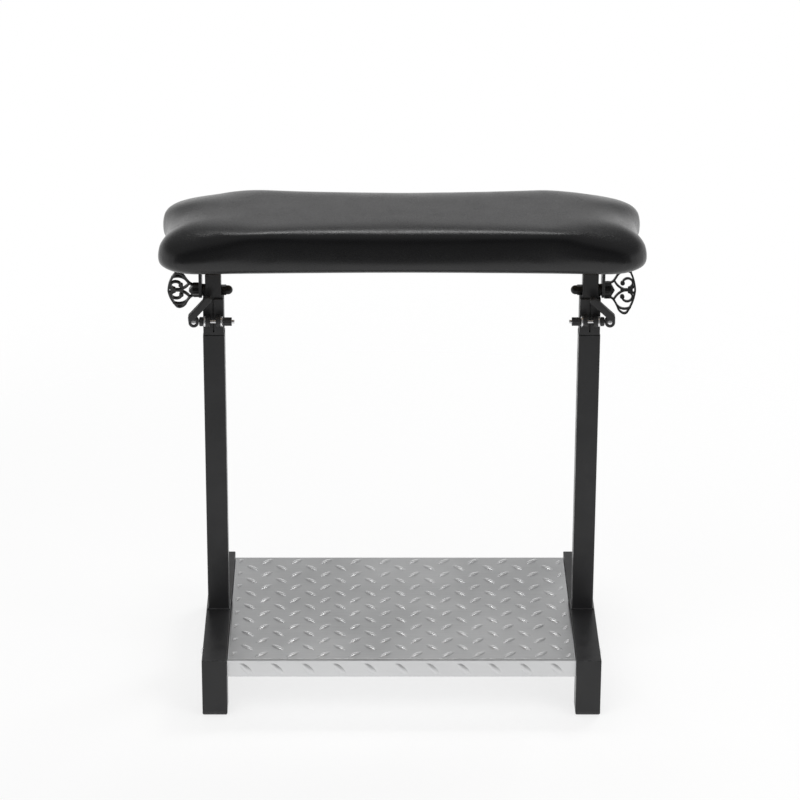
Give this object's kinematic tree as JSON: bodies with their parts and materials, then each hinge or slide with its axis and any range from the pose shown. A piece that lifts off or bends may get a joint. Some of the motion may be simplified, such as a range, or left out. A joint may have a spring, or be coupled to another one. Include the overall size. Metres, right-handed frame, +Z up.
{
  "type": "padded arm rest stand",
  "caption": "Height-adjustable stand with a tilting padded rest, telescopic square posts with clamp levers and wing knobs, and a tread plate between the feet.",
  "frame": {"origin": "on the floor, midway between the four feet", "axes": "+X to the right seen from the front, +Y to the back, +Z up"},
  "size_m": [0.6642, 0.36, 0.688],
  "materials": {
    "frame_paint": "satin",
    "tread_metal": "satin",
    "black_plastic": "matte",
    "knob_enamel": "gloss",
    "chrome": "polished",
    "zinc": "satin",
    "pad_leather": "satin",
    "pad_foam": "matte",
    "pad_wood": "matte"
  },
  "bodies": {
    "base": {"left_foot_rail": "frame_paint", "left_front_leg": "frame_paint", "left_front_foot_cap": "black_plastic", "left_rear_leg": "frame_paint", "left_rear_foot_cap": "black_plastic", "left_outer_tube": "frame_paint", "left_post_weld": "frame_paint", "left_clamp_collar": "black_plastic", "left_clamp_bolt": "chrome", "left_cam_bushing": "black_plastic", "left_cam_pin": "chrome", "right_foot_rail": "frame_paint", "right_front_leg": "frame_paint", "right_front_foot_cap": "black_plastic", "right_rear_leg": "frame_paint", "right_rear_foot_cap": "black_plastic", "right_outer_tube": "frame_paint", "right_post_weld": "frame_paint", "right_clamp_collar": "black_plastic", "right_clamp_bolt": "chrome", "right_cam_bushing": "black_plastic", "right_cam_pin": "chrome", "tread_plate": "tread_metal", "frame_bolts": "chrome", "frame_nuts": "zinc", "clamp_washers": "chrome"},
    "left_inner": {"left_inner_tube": "frame_paint", "left_guide_plug": "black_plastic", "left_tube_cap": "black_plastic", "left_pivot_spacer": "black_plastic", "left_dome_nut": "knob_enamel"},
    "right_inner": {"right_inner_tube": "frame_paint", "right_guide_plug": "black_plastic", "right_tube_cap": "black_plastic", "right_pivot_spacer": "black_plastic", "right_dome_nut": "knob_enamel"},
    "pad": {"left_pad_bracket": "frame_paint", "right_pad_bracket": "frame_paint", "bracket_screws": "zinc", "board_tee_nuts": "zinc", "pad_board": "pad_wood", "pad_foam": "pad_foam", "pad_cover": "pad_leather"},
    "left_knob": {"left_wing_knob": "knob_enamel", "left_knob_stud": "zinc"},
    "left_lever": {"left_clamp_lever": "black_plastic"},
    "left_nut": {"left_clamp_nut": "black_plastic"},
    "right_knob": {"right_wing_knob": "knob_enamel", "right_knob_stud": "zinc"},
    "right_lever": {"right_clamp_lever": "black_plastic"},
    "right_nut": {"right_clamp_nut": "black_plastic"}
  },
  "joints": [
    {"name": "left_height", "type": "slide", "parent": "base", "child": "left_inner", "axis": [0, 0, 1], "range_m": [0, 0.25]},
    {"name": "right_height", "type": "slide", "parent": "base", "child": "right_inner", "axis": [0, 0, 1], "range_m": [0, 0.25]},
    {"name": "pad_tilt", "type": "hinge", "parent": "left_inner", "child": "pad", "pos_m": [-0.262, 0, 0.572], "axis": [1, 0, 0], "range_deg": [-45, 45]},
    {"name": "left_knob_turn", "type": "hinge", "parent": "left_inner", "child": "left_knob", "pos_m": [-0.262, 0, 0.572], "axis": [1, 0, 0], "continuous": true},
    {"name": "left_lever_open", "type": "hinge", "parent": "base", "child": "left_lever", "pos_m": [-0.2889, -0.0235, 0.5337], "axis": [0, -1, 0], "range_deg": [0, 110]},
    {"name": "left_nut_turn", "type": "hinge", "parent": "base", "child": "left_nut", "pos_m": [-0.262, -0.0235, 0.5337], "axis": [1, 0, 0], "continuous": true},
    {"name": "right_knob_turn", "type": "hinge", "parent": "right_inner", "child": "right_knob", "pos_m": [0.262, 0, 0.572], "axis": [1, 0, 0], "continuous": true},
    {"name": "right_lever_open", "type": "hinge", "parent": "base", "child": "right_lever", "pos_m": [0.2889, -0.0235, 0.5337], "axis": [0, 1, 0], "range_deg": [0, 110]},
    {"name": "right_nut_turn", "type": "hinge", "parent": "base", "child": "right_nut", "pos_m": [0.262, -0.0235, 0.5337], "axis": [1, 0, 0], "continuous": true}
  ],
  "couplings": [
    {"joint": "right_height", "follows": "left_height", "ratio": 1}
  ]
}
